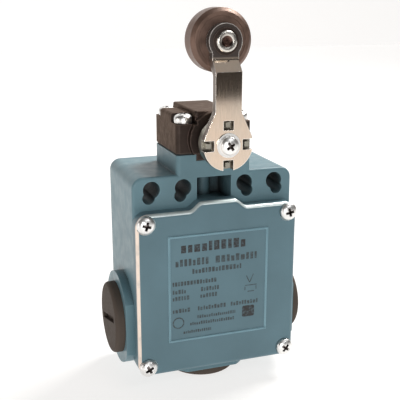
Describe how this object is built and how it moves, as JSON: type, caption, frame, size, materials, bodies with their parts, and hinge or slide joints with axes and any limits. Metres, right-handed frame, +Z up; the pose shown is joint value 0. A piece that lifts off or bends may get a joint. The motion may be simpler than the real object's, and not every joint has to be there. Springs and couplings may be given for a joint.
{
  "type": "roller lever limit switch",
  "caption": "Compact metal limit switch with a boxy body, bolted front cover, side rotary head, swinging roller lever, plugged cable entries and a snap contact block inside.",
  "frame": {"origin": "centre of the mounting hole pattern on the back face that lies on the panel", "axes": "+Y from the operator into the panel, +Z up along the body towards the head and roller, +X to the right seen from the operator"},
  "size_m": [0.0634, 0.0442, 0.1189],
  "materials": {
    "body_enamel": "satin",
    "cover_enamel": "satin",
    "head_cast": "satin",
    "seal_rubber": "matte",
    "zinc_screw": "satin",
    "spring_steel": "satin",
    "ground_steel": "satin",
    "lever_nickel": "satin",
    "hub_steel": "satin",
    "axle_steel": "satin",
    "roller_steel": "satin",
    "plug_cast": "satin",
    "contact_moulding": "matte",
    "ivory_moulding": "matte",
    "contact_brass": "satin",
    "contact_silver": "satin"
  },
  "bodies": {
    "switch_body": {"body_housing": "body_enamel", "cover": "cover_enamel", "cover_gasket": "seal_rubber", "cover_screws": "zinc_screw", "head_housing": "head_cast", "head_gasket": "seal_rubber", "head_screws": "zinc_screw", "shaft_bushing": "head_cast", "centring_spring": "spring_steel", "shaft_seal": "seal_rubber", "plunger_spring": "spring_steel", "rod_seal": "seal_rubber", "plug_left": "plug_cast", "plug_right": "plug_cast", "plug_bottom": "plug_cast", "plug_seals": "seal_rubber", "contact_base": "contact_moulding", "contact_cover": "ivory_moulding", "carrier_spring": "spring_steel", "contact_upper_left": "contact_brass", "contact_upper_right": "contact_brass", "contact_lower_left": "contact_brass", "contact_lower_right": "contact_brass", "terminal_clamps": "zinc_screw", "terminal_screws": "zinc_screw", "block_screws": "zinc_screw", "ground_clamp": "zinc_screw", "ground_screw": "contact_brass"},
    "lever_assembly": {"shaft": "ground_steel", "cam": "ground_steel", "cam_pin": "ground_steel", "lever_hub": "hub_steel", "lever_plate": "lever_nickel", "lever_washer": "zinc_screw", "lever_screw": "zinc_screw", "roller_axle": "axle_steel", "axle_washers": "head_cast"},
    "roller_wheel": {"roller": "roller_steel"},
    "plunger": {"plunger_cup": "ground_steel", "plunger_rod": "ground_steel"},
    "contact_carriage": {"contact_carrier": "ivory_moulding", "moving_bridge": "contact_brass", "bridge_contacts": "contact_silver", "bridge_springs": "spring_steel"}
  },
  "joints": [
    {"name": "lever_swing", "type": "hinge", "parent": "switch_body", "child": "lever_assembly", "pos_m": [0, -0.0185, 0.01462], "axis": [0, 1, 0], "range_deg": [-75, 75], "stiffness_Nm_per_rad": 0.08},
    {"name": "roller_spin", "type": "hinge", "parent": "lever_assembly", "child": "roller_wheel", "pos_m": [0, -0.03255, 0.04387], "axis": [0, 1, 0], "continuous": true},
    {"name": "plunger_slide", "type": "slide", "parent": "switch_body", "child": "plunger", "axis": [0, 0, -1], "range_m": [-0.0012, 0.0012], "deforming": ["plunger_spring"]},
    {"name": "carrier_slide", "type": "slide", "parent": "switch_body", "child": "contact_carriage", "axis": [0, 0, -1], "range_m": [-0.0012, 0.0012], "deforming": ["carrier_spring"]}
  ],
  "couplings": [
    {"joint": "plunger_slide", "follows": "lever_swing", "m_per_rad": 0.0009167},
    {"joint": "carrier_slide", "follows": "lever_swing", "m_per_rad": 0.0009167}
  ]
}
